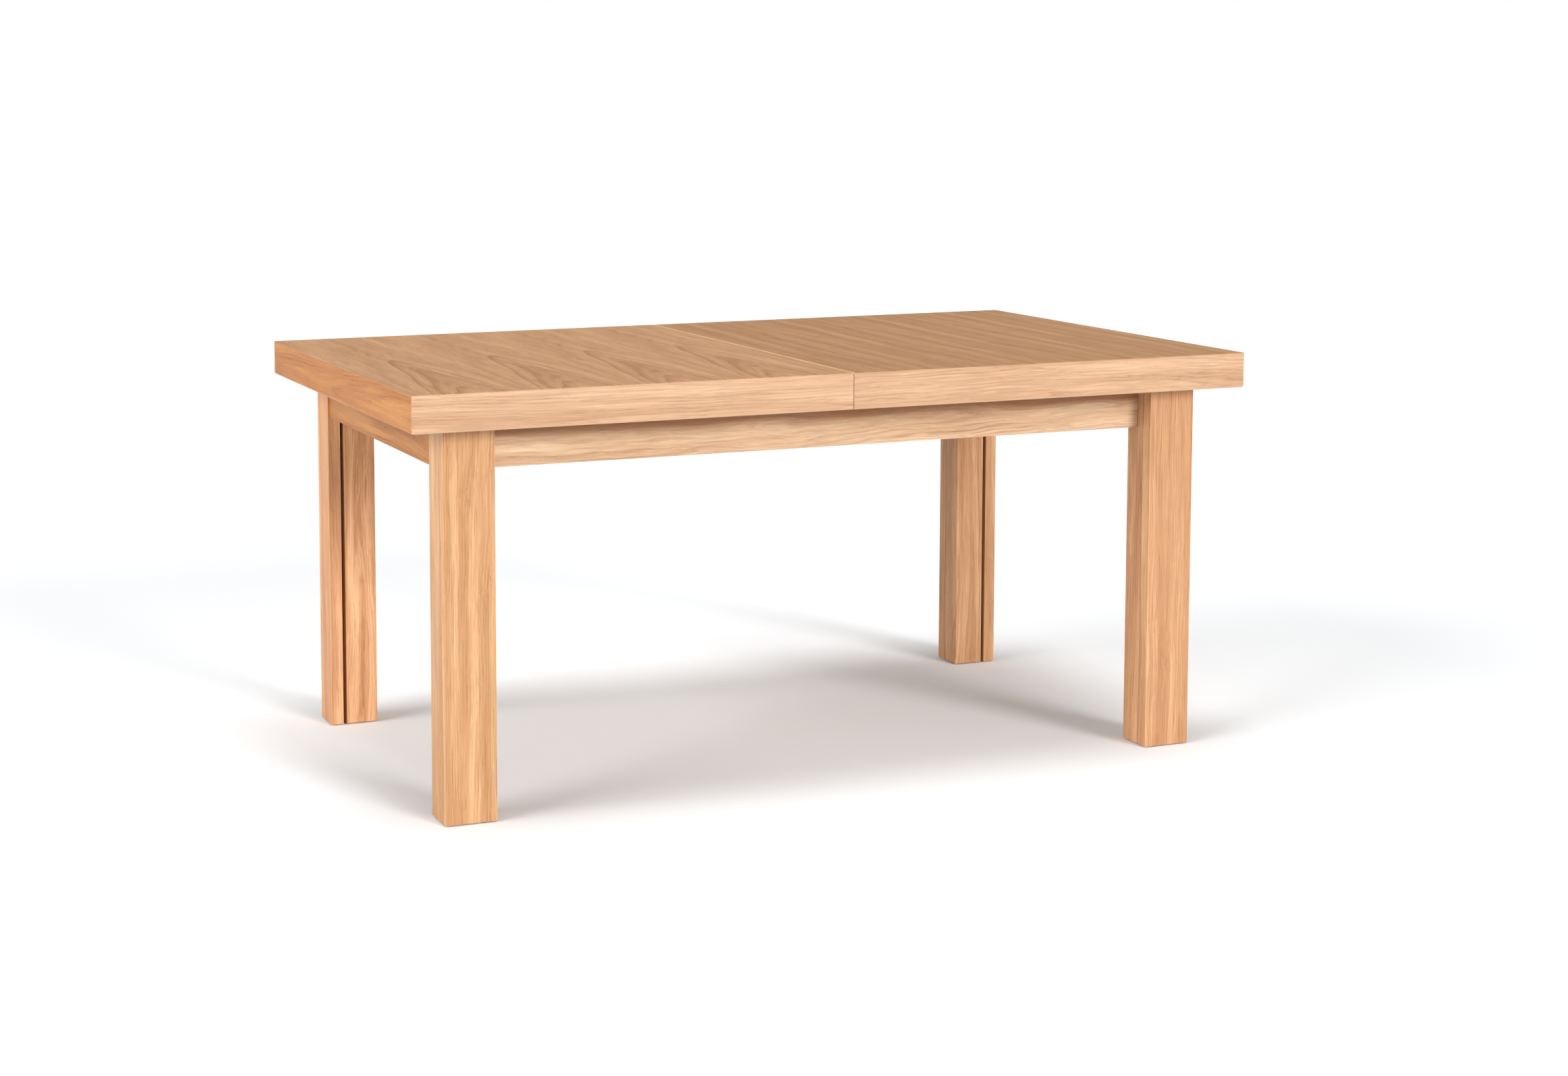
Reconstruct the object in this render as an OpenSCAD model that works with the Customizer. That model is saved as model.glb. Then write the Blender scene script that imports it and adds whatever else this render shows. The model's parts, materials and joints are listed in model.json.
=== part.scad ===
// Extending dining table with split legs.
// A fixed inner frame (four posts, two long aprons, cross rails) carries two half tops that
// slide apart along X. Each half top takes its end apron and the L-shaped outer shells of its
// two legs with it, so the table stands on eight feet when it is open. A rack under each half
// meshes with one pinion, which keeps the halves in step. The spare leaf lies under the tops.
// Frame: +Z up, X along the table, Y across it, origin on the floor at the centre. Front is -Y.

/* [Table] */
// Length of the closed top
table_l = 1600; // [1330:10:2000]
// Width of the top
table_w = 900; // [750:10:1100]
// Height of the top's face above the floor
table_h = 740; // [700:5:780]

/* [Top] */
// Height of the edge boards
edge_h = 64; // [50:1:80]
// Thickness of the edge boards
edge_t = 24; // [18:1:35]
// Thickness of the panel with its veneer
panel_t = 22; // [18:1:28]
// Thickness of the face veneer
veneer_t = 0.8; // [0.6:0.1:1.5]
// Gap between the closed halves
seam_gap = 1.2; // [0.6:0.1:3]
// Overhang of the top past the legs' outer faces, along the table
overhang_x = 70; // [40:1:120]
// Overhang of the top past the legs' outer faces, across the table
overhang_y = 56; // [46:1:90]

/* [Legs] */
// Size of a whole leg along the table
leg_x = 92; // [76:1:120]
// Size of a whole leg across the table
leg_y = 74; // [64:1:100]
// Thickness of a leg shell's boards
shell_t = 24; // [18:1:30]
// Slot between the post and the shell's side board
slot_gap = 7; // [4:0.5:12]
// Running gap between the post and the shell's face board
side_gap = 1; // [0.5:0.1:3]
// Thickness of the steel plate on top of each shell
plate_t = 3; // [2:0.5:5]
// Thickness of the felt glides
glide_t = 2; // [1.5:0.5:5]
// Radius of a post's glide
post_glide_r = 18; // [10:1:20]
// Radius of a shell's glides
shell_glide_r = 9; // [6:0.5:9]

/* [Aprons and rails] */
// Depth of the long aprons below the edge boards
apron_drop = 78; // [66:1:110]
// Thickness of the long aprons
apron_t = 22; // [18:1:26]
// Setback of the long aprons from the legs' faces
apron_setback = 42.5; // [30:0.5:51]
// Height of the posts and aprons above the edge boards' lower faces
frame_rise = 24; // [20:1:30]
// Thickness of the end aprons
end_apron_t = 20; // [16:1:20]
// Setback of the end aprons from the legs' outer faces
end_setback = 4; // [2:0.5:4]
// How much higher the end aprons' lower edge is than the long aprons'
end_lift = 4; // [2:0.5:8]
// Thickness of the flat cross rails
rail_t = 22; // [18:1:25]
// Width of the cross rails between the aprons
rail_w = 50; // [40:1:80]
// Width of the cross rails between the posts
end_rail_w = 36; // [30:1:44]
// Radius of the beech dowels
dowel_r = 4; // [3:0.5:5]
// Depth of a dowel in each of its two pieces
dowel_in = 14; // [10:1:16]

/* [Slides] */
// Height of the guide channel
channel_h = 40; // [34:1:44]
// Depth of the guide channel
channel_d = 14; // [12:0.5:16]
// Wall of the guide channel
channel_t = 2; // [1.5:0.5:3]
// Height of each lip of the guide channel
channel_lip = 10; // [6:0.5:12]
// Distance of the slide bars from the seam
bar_start_x = 60; // [40:5:120]
// Height of a slide bar's neck
bar_neck = 16; // [10:1:17]
// Thickness of a slide bar's flange
bar_flange = 3; // [2:0.5:4]
// Running clearance of a slide bar in its channel, up and down
bar_clear = 0.5; // [0.3:0.1:1]
// Thickness of a runner
runner_t = 22; // [18:1:26]
// Height of a runner
runner_h = 62; // [54:1:64]

/* [Synchronising gear] */
// Module of the teeth
gear_module = 2; // [1.5:0.25:2.25]
// Number of teeth on the pinion, an even number
gear_teeth = 20; // [20:2:24]
// Thickness of the pinion and racks
gear_t = 8; // [6:1:9]
// Backlash at the pitch line
backlash = 0.25; // [0.2:0.05:0.5]
// Height of a rack's back behind its teeth
rack_back = 8; // [6:1:12]
// Radius of the pinion's axle
axle_r = 5; // [4:0.5:6]
// Radial running clearance of the pinion on its axle
axle_clear = 0.05; // [0.03:0.01:0.08]

/* [Catches] */
// Longest distance from a catch lever's pivot to the keeper pin
catch_reach_max = 40; // [34:1:44]
// Width of a catch lever
catch_w = 16; // [14:1:18]
// Thickness of a catch lever
catch_t = 6; // [4:1:7]
// Radius of a keeper pin
keeper_r = 3.5; // [3:0.25:4]
// Radius of a catch's pivot stud
catch_pivot_r = 4; // [3:0.25:4.5]

/* [Hidden] */
$fn = 48;
eps = 0.01;

// Levels
z_panel = table_h - panel_t;                      // underside of the panels
z_veneer = table_h - veneer_t;                    // underside of the face veneer
z_edge = table_h - edge_h;                        // lower face of the edge boards
z_apron = z_edge - apron_drop;                    // lower edge of the long aprons
z_frame = z_edge + frame_rise;                    // top of the posts and long aprons
z_plate = z_panel - plate_t;                      // underside of the shells' plates
z_rail = z_apron + 2;                             // lower face of the cross rails
z_store = z_rail + rail_t;                        // where the spare leaf lies
z_rack = z_store + 3;                             // lower face of the racks and pinion
z_channel = z_frame - channel_h;                  // lower face of the guide channels

// Plan
half_l = table_l / 2;
half_w = table_w / 2;
half_gap = seam_gap / 2;
leg_out_x = half_l - overhang_x;                  // legs' outer faces along the table
leg_out_y = half_w - overhang_y;                  // legs' outer faces across the table
leg_in_x = leg_out_x - leg_x;
leg_in_y = leg_out_y - leg_y;
post_out_x = leg_out_x - shell_t - slot_gap;
post_out_y = leg_out_y - shell_t - side_gap;
apron_out_y = leg_out_y - apron_setback;
apron_in_y = apron_out_y - apron_t;
end_apron_out_x = leg_out_x - end_setback;
end_apron_in_x = end_apron_out_x - end_apron_t;
end_rail_x = (leg_in_x + post_out_x) / 2;         // centre of an end cross rail

// Gear, beside the leaf's bay at the back so that the leaf can be tipped out past it
gear_r = gear_module * gear_teeth / 2;
gear_tip = gear_r + gear_module;
gear_root = gear_r - 1.25 * gear_module;
gear_base = gear_r * cos(20);
tooth_pitch = PI * gear_module;
tooth_half = (tooth_pitch / 2 - backlash) / 2;    // half a tooth at the pitch line
rack_root_y = gear_r + 1.25 * gear_module;        // from the pinion's centre
rack_out_y = rack_root_y + rack_back;
guide_gap = 0.4;                                  // clearance of a rack in its guides
guide_wall = 4;
guide_base = z_rack - guide_gap - z_store;
guide_out_y = rack_out_y + guide_gap + guide_wall;
guide_l = 24;
rack_clear = 0.6;                                 // a rack's clearance past the post
gear_y = min(leg_in_y, apron_in_y - guide_wall) - rack_clear - rack_out_y;

// Spare leaf, stored lengthwise. It fills the bay, and sets how far the halves open.
leaf_clear = 4;
leaf_half_w = gear_y - guide_out_y - leaf_clear;
leaf_half_l = half_w;
z_leaf_top = z_store + edge_h;
pull = leaf_half_w;                               // travel of each half top
bearer_x = leaf_half_l - rail_w / 2;              // centre of a leaf bearer
rack_teeth = ceil((pull + 3 * tooth_pitch) / tooth_pitch);
rack_reach = (rack_teeth - 1.5) * tooth_pitch;    // the racks' free ends past the centre
tab_h = 30;
tab_t = 3;

// Slides, from the apron inwards
channel_in_y = apron_in_y - channel_d;            // the lips' inner face
bar_head_d = channel_d - 2 * channel_t - 2;       // the head has 1 mm each side
bar_head_y = apron_in_y - channel_t - 1 - bar_head_d;
bar_neck_y = channel_in_y - 1.5;
runner_out_y = min(bar_neck_y - bar_flange, leg_in_y - 2);
runner_in_y = runner_out_y - runner_t;
bar_end_x = leg_in_x - pull - 0.5;                // an open bar stops 0.5 mm off the post
runner_start_x = 20;
runner_end_x = end_apron_in_x - 2;
z_bar = z_channel + channel_h / 2;                // middle of the slide bars

// Fasteners
screw_r = 2;
screw_head_r = 4;
screw_fit = 0.05;                                 // a screw's hole is this much larger
bolt_r = 2.5;
axle_head_r = 8.5;
axle_head_h = 6;
pin_r = 4;
pin_out = 12;
pin_in = 20;
pin_clear = 0.3;
z_pin = (z_panel + z_veneer) / 2;
pin_span = min(300, half_w - edge_t - 60);

// Catches, between the long aprons and the edge boards
catch_plate_w = 28;
catch_plate_t = 2;
catch_tip = 6;                                    // a hook's end beyond the keeper pin
catch_y = apron_out_y + catch_plate_w / 2 + 2;
catch_reach = min(catch_reach_max, half_w - edge_t - catch_y - keeper_r - catch_tip - 2);
catch_pivot_x = catch_reach / 2 + 2;
keeper_x = catch_reach - catch_pivot_x;
catch_plate_l = 2 * (keeper_x - 2);
z_catch = z_panel - catch_plate_t - 1 - catch_t;  // lower face of a lever
// The slot's inner side clears the keeper pin by 0.5 mm as the lever swings onto it.
catch_slot_y = sqrt(pow(catch_reach - keeper_r - 0.5, 2) - pow(catch_w / 2, 2));

LEFT = -1;
RIGHT = 1;
FRONT = -1;
BACK = 1;

oak = "burlywood";
oak_top = "tan";
beech = "wheat";
steel = "silver";
zinc = "lightsteelblue";
nylon = "whitesmoke";
felt = "dimgray";
brass = "goldenrod";

// ---------------------------------------------------------------- placing
// Pieces are drawn in the quarter with X and Y above zero, and mirrored to their own.
module quarter(side, face)
    mirror([side < 0 ? 1 : 0, 0, 0])
        mirror([0, face < 0 ? 1 : 0, 0])
            children();

module each_quarter()
    for (side = [LEFT, RIGHT], face = [FRONT, BACK])
        quarter(side, face) children();

module box(low, high)
    translate(low) cube(high - low);

// An outline in Y and Z, drawn out along X from x0 to x1.
module along_x(x0, x1, outline)
    translate([x0, 0, 0])
        rotate([90, 0, 90])
            linear_extrude(x1 - x0)
                polygon(outline);

// A rod along X, Y or Z from a start point.
module rod_x(start, length, r) translate(start) rotate([0, 90, 0]) cylinder(h = length, r = r);
module rod_y(start, length, r) translate(start) rotate([-90, 0, 0]) cylinder(h = length, r = r);
module rod_z(start, length, r) translate(start) cylinder(h = length, r = r);

// ---------------------------------------------------------------- dowels
function apron_dowel_z() = [z_apron + 20, z_frame - 20];
function rail_dowel_dx(width) = [-width / 4, width / 4];

// Dowels between a long apron and its post, an end rail and its post, and a cross rail and
// its apron. grow widens them to cut their holes.
module apron_dowels_at(grow = 0)
    for (z = apron_dowel_z())
        rod_x([leg_in_x - dowel_in, apron_out_y - apron_t / 2, z], 2 * dowel_in, dowel_r + grow);

module rail_dowels_at(x, y, width, grow = 0)
    for (dx = rail_dowel_dx(width))
        rod_y([x + dx, y - dowel_in, z_rail + rail_t / 2], 2 * dowel_in, dowel_r + grow);

module end_rail_dowels_at(grow = 0)
    rail_dowels_at(end_rail_x, leg_in_y, end_rail_w, grow);

module frame_dowels() color(beech) {
    each_quarter() {
        apron_dowels_at();
        end_rail_dowels_at();
        rail_dowels_at(bearer_x, apron_in_y, rail_w);
    }
    for (face = [FRONT, BACK])
        quarter(RIGHT, face) rail_dowels_at(0, apron_in_y, rail_w);
}

// ---------------------------------------------------------------- fixed frame
module post(side, face) color(oak)
    quarter(side, face) difference() {
        box([leg_in_x, leg_in_y, glide_t], [post_out_x, post_out_y, z_frame]);
        apron_dowels_at(screw_fit);
        end_rail_dowels_at(screw_fit);
    }

module post_glides() color(felt)
    each_quarter()
        rod_z([(leg_in_x + post_out_x) / 2, (leg_in_y + post_out_y) / 2, 0], glide_t, post_glide_r);

function channel_screw_x() = [100, leg_in_x / 2, leg_in_x - 40];

// A channel screw has a countersunk head that is flush in the channel's web.
module channel_screws_at(grow = 0)
    for (x = channel_screw_x()) {
        translate([x, apron_in_y - channel_t, z_bar])
            rotate([-90, 0, 0])
                cylinder(h = channel_t, r1 = screw_head_r + grow, r2 = screw_r + grow);
        rod_y([x, apron_in_y - eps, z_bar], apron_t - 5, screw_r + grow);
    }

module apron(face) color(oak)
    quarter(RIGHT, face) difference() {
        box([-leg_in_x, apron_in_y, z_apron], [leg_in_x, apron_out_y, z_frame]);
        for (side = [LEFT, RIGHT])
            quarter(side, BACK) {
                apron_dowels_at(screw_fit);
                rail_dowels_at(bearer_x, apron_in_y, rail_w, screw_fit);
                channel_screws_at(screw_fit);
            }
        rail_dowels_at(0, apron_in_y, rail_w, screw_fit);
    }

// A flat rail across the table at x, from -reach to reach.
module cross_rail(x, width, reach) difference() {
    box([x - width / 2, -reach, z_rail], [x + width / 2, reach, z_store]);
    for (face = [FRONT, BACK])
        quarter(RIGHT, face) rail_dowels_at(x, reach, width, screw_fit);
    guide_screws_at(screw_fit);
}

module end_cross_rails() color(oak)
    for (x = [-end_rail_x, end_rail_x]) cross_rail(x, end_rail_w, leg_in_y);

module leaf_bearers() color(beech)
    for (x = [-bearer_x, bearer_x]) cross_rail(x, rail_w, apron_in_y);

module centre_rail() color(beech)
    difference() {
        cross_rail(0, rail_w, apron_in_y);
        rod_z([0, gear_y, z_rail - 1], rail_t + 2, axle_r + screw_fit);
        rod_z([0, gear_y, z_rail - 1], axle_head_h + 1, axle_head_r + 1);
    }

// ---------------------------------------------------------------- slides
// The channel opens towards the middle of the table, with a lip above and below its mouth.
function channel_outline() = [
    [apron_in_y, z_channel],
    [apron_in_y, z_channel + channel_h],
    [channel_in_y, z_channel + channel_h],
    [channel_in_y, z_channel + channel_h - channel_lip],
    [channel_in_y + channel_t, z_channel + channel_h - channel_lip],
    [channel_in_y + channel_t, z_channel + channel_h - channel_t],
    [apron_in_y - channel_t, z_channel + channel_h - channel_t],
    [apron_in_y - channel_t, z_channel + channel_t],
    [channel_in_y + channel_t, z_channel + channel_t],
    [channel_in_y + channel_t, z_channel + channel_lip],
    [channel_in_y, z_channel + channel_lip],
    [channel_in_y, z_channel]
];

module guide_channels() color(zinc)
    for (face = [FRONT, BACK])
        quarter(RIGHT, face) difference() {
            along_x(-leg_in_x + 1, leg_in_x - 1, channel_outline());
            for (side = [LEFT, RIGHT])
                quarter(side, BACK) channel_screws_at(screw_fit);
        }

module frame_screws() color(steel) {
    each_quarter() channel_screws_at();
    guide_screws_at();
}

// A slide bar is a flange on the runner, a neck through the channel's mouth, and a head inside.
module slide_bar_blank() {
    head_half = channel_h / 2 - channel_t - bar_clear;
    flange_half = channel_h / 2 - channel_t;
    box([bar_start_x, runner_out_y, z_bar - flange_half],
        [bar_end_x, bar_neck_y, z_bar + flange_half]);
    box([bar_start_x, bar_neck_y - eps, z_bar - bar_neck / 2],
        [bar_end_x, bar_head_y + eps, z_bar + bar_neck / 2]);
    box([bar_start_x, bar_head_y, z_bar - head_half],
        [bar_end_x, bar_head_y + bar_head_d, z_bar + head_half]);
}

function bar_bolt_x() = [bar_start_x + 30, (bar_start_x + bar_end_x) / 2, bar_end_x - 30];

// Bolts through a runner into its slide bar, with their heads on the runner's inner face.
module bar_bolts_at(grow = 0)
    for (x = bar_bolt_x())
        rod_y([x, runner_in_y - eps, z_bar], bar_neck_y + 3 - runner_in_y, bolt_r + grow);

module bar_bolt_heads()
    for (x = bar_bolt_x())
        rod_y([x, runner_in_y - 3, z_bar], 3, 4.5);

module slide_bars(side) color(zinc)
    for (face = [FRONT, BACK])
        quarter(side, face) difference() {
            slide_bar_blank();
            bar_bolts_at(screw_fit);
        }

function runner_screw_x() = [runner_start_x + 25, 0.35 * runner_end_x, 0.68 * runner_end_x,
                             runner_end_x - 40];

// Screws up through a runner into the panel, with their heads sunk in counterbores.
module runner_screws_at(grow = 0)
    for (x = runner_screw_x())
        rod_z([x, (runner_in_y + runner_out_y) / 2, z_panel - 28 - eps], 28 + panel_t - 7,
              bolt_r + grow);

module runner_screw_heads(grow = 0, down = 3)
    for (x = runner_screw_x())
        rod_z([x, (runner_in_y + runner_out_y) / 2, z_panel - 28 - down], down, 4.5 + grow);

module runners(side) color(beech)
    for (face = [FRONT, BACK])
        quarter(side, face) difference() {
            box([runner_start_x, runner_in_y, z_panel - runner_h],
                [runner_end_x, runner_out_y, z_panel]);
            bar_bolts_at(screw_fit);
            runner_screws_at(screw_fit);
            runner_screw_heads(0.5, runner_h);
        }

// ---------------------------------------------------------------- gear and racks
function turned(p, a) = [p[0] * cos(a) - p[1] * sin(a), p[0] * sin(a) + p[1] * cos(a)];
function inv_angle(radius) = let (a = acos(gear_base / radius)) tan(a) * 180 / PI - a;
// Half the angle that a tooth covers at a radius.
function tooth_angle(radius) =
    tooth_half / gear_r * 180 / PI + inv_angle(gear_r) - inv_angle(max(radius, gear_base));
flank_radii = [gear_root, gear_base, gear_base + (gear_tip - gear_base) * 0.3,
               gear_base + (gear_tip - gear_base) * 0.65, gear_tip];
function flank(sign) = [for (r = flank_radii) turned([r, 0], sign * tooth_angle(r))];
function reversed(list) = [for (i = [len(list) - 1 : -1 : 0]) list[i]];
function gear_outline() = [
    for (i = [0 : gear_teeth - 1], p = concat(flank(-1), reversed(flank(1))))
        turned(p, i * 360 / gear_teeth)
];

// Axes of the gear set, with the right half's rack turned half round from the left's.
module at_gear(turn = 0) translate([0, gear_y, 0]) rotate([0, 0, turn]) children();

// The pinion turns on the axle, and its hub stands on the centre rail.
module pinion() color(nylon)
    at_gear() difference() {
        union() {
            translate([0, 0, z_rack]) linear_extrude(gear_t) polygon(gear_outline());
            rod_z([0, 0, z_store + 0.3], z_rack - z_store, axle_r + 4);
        }
        rod_z([0, 0, z_store - 1], gear_t + 6, axle_r + axle_clear);
    }

// A bolt up through the centre rail and the pinion, with its head sunk and a nut on top.
module gear_axle() color(steel)
    at_gear() {
        rod_z([0, 0, z_rail + axle_head_h - eps], z_rack + gear_t + 8 - z_rail - axle_head_h,
              axle_r);
        rod_z([0, 0, z_rail], axle_head_h, axle_head_r);
        translate([0, 0, z_rack + gear_t + 0.4]) cylinder(h = 5, r = axle_r + 4, $fn = 6);
    }

// A tooth's outline at x, pointing down from the root line to the tip line.
function rack_tooth(x) = let (up = 1.25 * gear_module * tan(20), down = gear_module * tan(20)) [
    [x - tooth_half - up, rack_root_y],
    [x - tooth_half + down, gear_r - gear_module],
    [x + tooth_half - down, gear_r - gear_module],
    [x + tooth_half + up, rack_root_y]
];
function rack_outline() = concat(
    [[-end_apron_in_x + eps, rack_out_y], [-end_apron_in_x + eps, rack_root_y]],
    [for (i = [0 : rack_teeth - 1], p = rack_tooth((i - 1.5) * tooth_pitch)) p],
    [[rack_reach, rack_root_y], [rack_reach, rack_out_y]]
);

function tab_screw_z() = [z_rack + tab_h - 10];
module tab_screws_at(grow = 0)
    for (z = tab_screw_z())
        rod_x([-end_apron_in_x - 12, (rack_root_y + rack_out_y) / 2, z],
              12 + tab_t + eps, screw_r + grow);

module tab_screw_heads()
    for (z = tab_screw_z())
        rod_x([-end_apron_in_x + tab_t, (rack_root_y + rack_out_y) / 2, z], 2.5, screw_head_r);

// The left half's rack runs behind the pinion, and the right half's in front of it.
function turn_for(side) = side == LEFT ? 0 : 180;
module rack(side) color(steel)
    at_gear(turn_for(side)) difference() {
        union() {
            translate([0, 0, z_rack]) linear_extrude(gear_t) polygon(rack_outline());
            box([-end_apron_in_x, rack_root_y, z_rack],
                [-end_apron_in_x + tab_t, rack_out_y, z_rack + tab_h]);
        }
        tab_screws_at(screw_fit);
    }

// A guide holds a rack down on a rail and keeps it in mesh. The one at the pinion is open
// towards the teeth. The far one, on the leaf bearer, wraps round the rack.
function guide_screw_dx() = [-rail_w / 2 + 6, rail_w / 2 - 6];
function guide_mid_y() = (rack_root_y + rack_out_y) / 2;
module guide_screws_at(grow = 0)
    for (turn = [0, 180], x = [-bearer_x, 0], dx = guide_screw_dx())
        at_gear(turn) translate([x + dx, guide_mid_y(), z_store])
            union() {
                cylinder(h = guide_base, r1 = 1.5 + grow, r2 = 3 + grow);
                rod_z([0, 0, -14], 14 + eps, 1.5 + grow);
            }

module rack_guide(x, mouth_y) difference() {
    union() {
        box([x - rail_w / 2 + 1, mouth_y, z_store],
            [x + rail_w / 2 - 1, guide_out_y, z_store + guide_base]);
        box([x - guide_l / 2, mouth_y, z_store],
            [x + guide_l / 2, guide_out_y, z_rack + gear_t + guide_gap + 2.6]);
    }
    box([x - guide_l, mouth_y + (x == 0 ? -1 : guide_wall), z_store + guide_base],
        [x + guide_l, rack_out_y + guide_gap, z_rack + gear_t + guide_gap]);
}

module rack_guides() color(nylon)
    difference() {
        for (turn = [0, 180]) at_gear(turn) {
            rack_guide(-bearer_x, rack_root_y - guide_gap - guide_wall);
            rack_guide(0, rack_root_y + 1);
        }
        guide_screws_at(screw_fit);
    }

// ---------------------------------------------------------------- half tops
module catch_screws_at(x, grow = 0)
    for (dx = [-catch_plate_l / 2 + 5, catch_plate_l / 2 - 5])
        rod_z([x + dx, catch_y + catch_plate_w / 2 - 5, z_panel - catch_plate_t], 14,
              1.5 + grow);

module top_pins_at(x0, length, r)
    for (y = [-pin_span, 0, pin_span]) rod_x([x0, y, z_pin], length, r);

module top_panel(side) color(oak_top)
    quarter(side, BACK) difference() {
        box([half_gap, -half_w + edge_t, z_panel], [half_l - edge_t, half_w - edge_t, z_veneer]);
        top_pins_at(half_gap - 1, side == LEFT ? pin_out + 5 : pin_in + 1,
                    side == LEFT ? pin_r + pin_clear : pin_r + screw_fit);
        for (face = [FRONT, BACK])
            quarter(RIGHT, face) {
                runner_screws_at(screw_fit);
                plate_top_screws_at(screw_fit);
                catch_screws_at(side == LEFT ? catch_pivot_x : keeper_x, screw_fit);
            }
    }

module top_veneer(side) color(oak_top)
    quarter(side, BACK) box([half_gap, -half_w, z_veneer], [half_l, half_w, table_h]);

module edge_board(side, face) color(oak)
    quarter(side, face)
        translate([0, 0, z_edge]) linear_extrude(z_veneer - z_edge)
            polygon([[half_gap, half_w - edge_t], [half_l - edge_t, half_w - edge_t],
                     [half_l, half_w], [half_gap, half_w]]);

module edge_board_end(side) color(oak)
    quarter(side, BACK)
        translate([0, 0, z_edge]) linear_extrude(z_veneer - z_edge)
            polygon([[half_l - edge_t, -half_w + edge_t], [half_l, -half_w],
                     [half_l, half_w], [half_l - edge_t, half_w - edge_t]]);

module alignment_pins() color(beech)
    top_pins_at(-pin_out, pin_out + half_gap + pin_in - 1, pin_r);

// ---------------------------------------------------------------- leg shells
function face_screw() = [leg_in_x + 22, leg_out_y - shell_t / 2];
function side_screw() = [leg_out_x - shell_t / 2, leg_in_y + 22];

// Countersunk screws down through the plate, one into each board of the shell.
module plate_down_screws_at(grow = 0)
    for (p = [face_screw(), side_screw()]) {
        translate([p[0], p[1], z_plate])
            cylinder(h = plate_t, r1 = screw_r + grow, r2 = screw_head_r + grow);
        rod_z([p[0], p[1], z_plate - 30], 30 + eps, screw_r + grow);
    }

// Screws up through the plate into the panel, in the space over the post.
function plate_up() = [[post_out_x - 12, leg_in_y + 14], [post_out_x - 12, post_out_y - 14],
                       [leg_in_x + 12, post_out_y - 14]];
module plate_top_screws_at(grow = 0)
    for (p = plate_up())
        rod_z([p[0], p[1], z_plate - eps], plate_t + panel_t - 7, screw_r + grow);

module plate_top_screw_heads()
    for (p = plate_up())
        rod_z([p[0], p[1], z_plate - 2.5], 2.5, screw_head_r);

module shell_face(side, face) color(oak)
    quarter(side, face) difference() {
        translate([0, 0, glide_t]) linear_extrude(z_plate - glide_t)
            polygon([[leg_in_x, leg_out_y - shell_t],
                     [leg_out_x - shell_t, leg_out_y - shell_t],
                     [leg_out_x, leg_out_y], [leg_in_x, leg_out_y]]);
        plate_down_screws_at(screw_fit);
    }

module shell_side(side, face) color(oak)
    quarter(side, face) difference() {
        translate([0, 0, glide_t]) linear_extrude(z_plate - glide_t)
            polygon([[leg_out_x - shell_t, leg_in_y], [leg_out_x, leg_in_y],
                     [leg_out_x, leg_out_y], [leg_out_x - shell_t, leg_out_y - shell_t]]);
        plate_down_screws_at(screw_fit);
        end_dowels_at(screw_fit);
    }

module shell_glides(side) color(felt)
    for (face = [FRONT, BACK], p = [face_screw(), side_screw()])
        quarter(side, face) rod_z([p[0], p[1], 0], glide_t, shell_glide_r);

module shell_plates(side) color(steel)
    for (face = [FRONT, BACK])
        quarter(side, face) difference() {
            box([leg_in_x + 2, leg_in_y + 2, z_plate], [leg_out_x - 2, leg_out_y - 2, z_panel]);
            plate_down_screws_at(screw_fit);
            plate_top_screws_at(screw_fit);
        }

// Dowels between an end apron and a shell's side board.
module end_dowels_at(grow = 0)
    for (z = [z_apron + end_lift + 20, z_edge - 10])
        rod_y([(end_apron_in_x + end_apron_out_x) / 2, leg_in_y - dowel_in, z], 2 * dowel_in,
              dowel_r + grow);

module end_apron(side) color(oak)
    difference() {
        quarter(side, BACK)
            box([end_apron_in_x, -leg_in_y, z_apron + end_lift],
                [end_apron_out_x, leg_in_y, z_panel]);
        at_gear(turn_for(side)) tab_screws_at(screw_fit);
        for (face = [FRONT, BACK])
            quarter(side, face) end_dowels_at(screw_fit);
    }

module end_dowels(side) color(beech)
    for (face = [FRONT, BACK])
        quarter(side, face) end_dowels_at();

module screws(side) color(steel) {
    for (face = [FRONT, BACK])
        quarter(side, face) {
            union() {
                bar_bolts_at();
                bar_bolt_heads();
            }
            union() {
                runner_screws_at();
                runner_screw_heads();
            }
            plate_down_screws_at();
            union() {
                plate_top_screws_at();
                plate_top_screw_heads();
            }
            catch_screws_at(side == LEFT ? catch_pivot_x : keeper_x);
        }
    at_gear(turn_for(side)) {
        tab_screws_at();
        tab_screw_heads();
    }
}

// ---------------------------------------------------------------- catches
module catch_plate_blank(x)
    box([x - catch_plate_l / 2, catch_y - catch_plate_w / 2, z_panel - catch_plate_t],
        [x + catch_plate_l / 2, catch_y + catch_plate_w / 2, z_panel]);

module catch_plates() color(brass)
    for (face = [FRONT, BACK])
        quarter(LEFT, face) {
            difference() {
                catch_plate_blank(catch_pivot_x);
                catch_screws_at(catch_pivot_x, screw_fit);
            }
            rod_z([catch_pivot_x, catch_y, z_catch - 1], catch_t + 2 + eps, catch_pivot_r);
            rod_z([catch_pivot_x, catch_y, z_catch - 3.5], 3, catch_pivot_r + 2.5);
        }

module catch_keepers() color(brass)
    for (face = [FRONT, BACK])
        quarter(RIGHT, face) {
            difference() {
                catch_plate_blank(keeper_x);
                catch_screws_at(keeper_x, screw_fit);
            }
            rod_z([keeper_x, catch_y, z_catch - 2], catch_t + 3 + eps, keeper_r);
        }

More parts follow.
